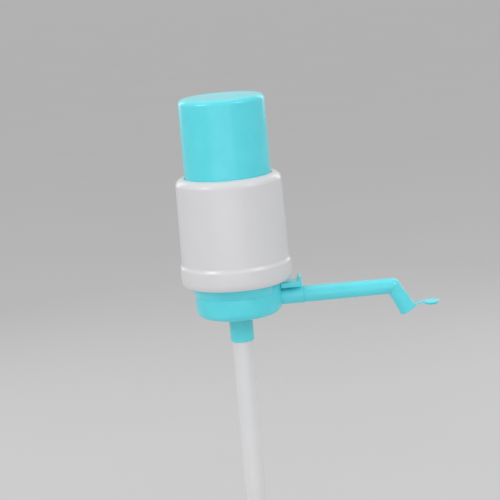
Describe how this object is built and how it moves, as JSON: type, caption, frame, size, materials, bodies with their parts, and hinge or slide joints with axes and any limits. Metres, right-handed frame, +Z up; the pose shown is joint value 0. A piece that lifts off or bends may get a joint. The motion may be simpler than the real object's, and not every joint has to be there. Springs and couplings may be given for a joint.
{
  "type": "water jug hand pump",
  "caption": "Hand pump for a large water jug: push cap over a bellows in a white casing, neck collar, suction tube, turning spout with a hinged cap, and an air release lever.",
  "frame": {"origin": "centre of the plane that the rim of the jug's neck seats on, on the pump's axis", "axes": "+Z up along the pump's axis towards the push cap; +X along the spout, away from the pump; +Y to the back, completing the right-handed frame"},
  "size_m": [0.1972, 0.0854, 0.4585],
  "materials": {
    "turquoise_plastic": "moulded, satin gloss",
    "white_plastic": "moulded, satin gloss",
    "natural_plastic": "milky, unpigmented",
    "tube_plastic": "drawn tube, satin",
    "dark_rubber": "smooth",
    "milky_silicone": "smooth, unpigmented",
    "steel": "plain"
  },
  "bodies": {
    "base": {"pump_base": "turquoise_plastic", "base_deck": "turquoise_plastic", "duct_cover": "turquoise_plastic", "neck_seal": "dark_rubber", "neck_grip_ring": "natural_plastic", "outer_casing": "white_plastic", "bellows": "natural_plastic", "bellows_clamp_ring": "white_plastic", "clamp_screws": "steel", "lever_pin": "steel", "release_spring": "steel"},
    "plunger": {"plunger_cap": "turquoise_plastic", "bellows_top_plate": "natural_plastic"},
    "inlet_valve": {"inlet_valve": "dark_rubber"},
    "outlet_valve": {"outlet_valve": "dark_rubber"},
    "suction_tube": {"suction_tube": "tube_plastic"},
    "spout": {"spout": "turquoise_plastic", "spout_o_ring": "dark_rubber"},
    "outlet_cap": {"outlet_cap": "turquoise_plastic"},
    "release_lever": {"release_lever": "turquoise_plastic", "release_seal": "milky_silicone"}
  },
  "joints": [
    {"name": "plunger_press", "type": "slide", "parent": "base", "child": "plunger", "axis": [0, 0, -1], "range_m": [0, 0.054], "stiffness_N_per_m": 500, "springref_m": -0.01, "deforming": ["bellows"]},
    {"name": "inlet_valve_lift", "type": "slide", "parent": "plunger", "child": "inlet_valve", "axis": [0, 0, -1], "range_m": [0, 0.0012], "stiffness_N_per_m": 60, "springref_m": -0.002},
    {"name": "outlet_valve_lift", "type": "slide", "parent": "base", "child": "outlet_valve", "axis": [0, 0, -1], "range_m": [0, 0.0012], "stiffness_N_per_m": 60, "springref_m": -0.002},
    {"name": "release_lever_tilt", "type": "hinge", "parent": "base", "child": "release_lever", "pos_m": [0.0362, 0, 0.00335], "axis": [0, 1, 0], "range_deg": [0, 8], "stiffness_Nm_per_rad": 0.02, "springref_deg": -17.19, "deforming": ["release_spring"]},
    {"name": "spout_swivel", "type": "hinge", "parent": "base", "child": "spout", "pos_m": [0.0498, 0, -0.0047], "axis": [1, 0, 0], "range_deg": [-90, 90]},
    {"name": "cap_hinge", "type": "hinge", "parent": "spout", "child": "outlet_cap", "pos_m": [0.1383, 0, -0.01988], "axis": [0, 1, 0], "range_deg": [0, 151.2]},
    {"name": "tube_pull", "type": "slide", "parent": "base", "child": "suction_tube", "axis": [0, 0, -1], "range_m": [0, 0.03]}
  ]
}
